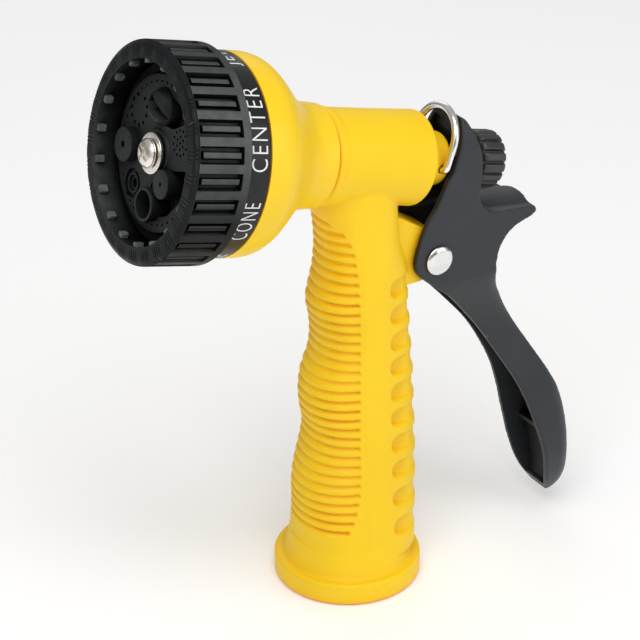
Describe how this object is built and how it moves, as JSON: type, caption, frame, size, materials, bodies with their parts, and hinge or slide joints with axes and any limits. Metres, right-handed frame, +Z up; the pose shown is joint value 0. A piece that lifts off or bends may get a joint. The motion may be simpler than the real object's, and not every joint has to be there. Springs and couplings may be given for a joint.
{
  "type": "hose spray nozzle",
  "caption": "Pistol-grip garden hose spray nozzle: ribbed grip over a tilted barrel, rotating pattern dial, squeeze trigger with flow knob and wire hold-open clip.",
  "frame": {"origin": "centre of the bounding box, on the plane of the hose inlet face it stands on", "axes": "+Z up along the hose inlet axis; -X towards the spray dial; +X towards the trigger; Y across, the body is symmetric about y=0"},
  "size_m": [0.1301, 0.0522, 0.1573],
  "materials": {
    "zinc_casting": null,
    "yellow_vinyl": "soft matte yellow vinyl",
    "yellow_plastic": "satin yellow",
    "rubber": "black",
    "brass": "machined",
    "steel_wire": "bright plated wire",
    "rivet_chrome": "polished",
    "screw_nickel": "nickel plated",
    "black_plastic": "satin black",
    "label_black": "satin black band",
    "trigger_grey": "satin dark grey",
    "nylon_black": "moulded nylon"
  },
  "bodies": {
    "body": {"body_casting": "zinc_casting", "grip_cover": "yellow_vinyl", "front_bell": "yellow_plastic", "bell_o_ring": "rubber", "valve_seat": "brass", "port_seal": "rubber", "port_seal_spring": "steel_wire", "detent_ball": "steel_wire", "detent_spring": "steel_wire", "gland_nut": "brass", "stem_o_ring": "rubber", "hose_washer": "rubber", "pivot_rivet": "rivet_chrome", "return_spring": "steel_wire", "spindle_insert": "brass", "center_screw": "screw_nickel", "screw_washer": "screw_nickel"},
    "dial": {"dial_ring": "black_plastic", "label_ring": "label_black", "dial_face": "black_plastic", "dial_back_plate": "black_plastic", "mist_swirler": "nylon_black", "cone_swirler": "nylon_black"},
    "trigger": {"trigger": "trigger_grey"},
    "stem": {"valve_stem": "brass", "valve_disc": "rubber", "disc_retainer": "brass", "spring_collar": "brass"},
    "knob_carrier": {"thrust_washer": "nylon_black"},
    "knob": {"adjuster_knob": "black_plastic", "knob_insert": "brass"},
    "clip": {"hold_open_clip": "steel_wire"}
  },
  "joints": [
    {"name": "dial_turn", "type": "hinge", "parent": "body", "child": "dial", "pos_m": [-0.04895, 0, 0.12973], "axis": [0.9722, 0, -0.234], "continuous": true},
    {"name": "trigger_pivot", "type": "hinge", "parent": "body", "child": "trigger", "pos_m": [0.01905, 0, 0.08846], "axis": [0, 1, 0], "range_deg": [0, 13]},
    {"name": "stem_slide", "type": "slide", "parent": "body", "child": "stem", "axis": [0.9722, 0, -0.234], "range_m": [0, 0.0067], "deforming": ["return_spring"]},
    {"name": "knob_advance", "type": "slide", "parent": "stem", "child": "knob_carrier", "axis": [0.9722, 0, -0.234], "range_m": [0, 0.0016]},
    {"name": "knob_turn", "type": "hinge", "parent": "knob_carrier", "child": "knob", "pos_m": [0.03661, 0, 0.10914], "axis": [0.9722, 0, -0.234], "range_deg": [0, 720]},
    {"name": "clip_pivot", "type": "hinge", "parent": "body", "child": "clip", "pos_m": [0.02062, 0, 0.11237], "axis": [0, 1, 0], "range_deg": [-23, 1.5]}
  ],
  "couplings": [
    {"joint": "stem_slide", "follows": "trigger_pivot", "m_per_rad": 0.0288},
    {"joint": "knob_turn", "follows": "knob_advance", "rad_per_m": 7800}
  ]
}
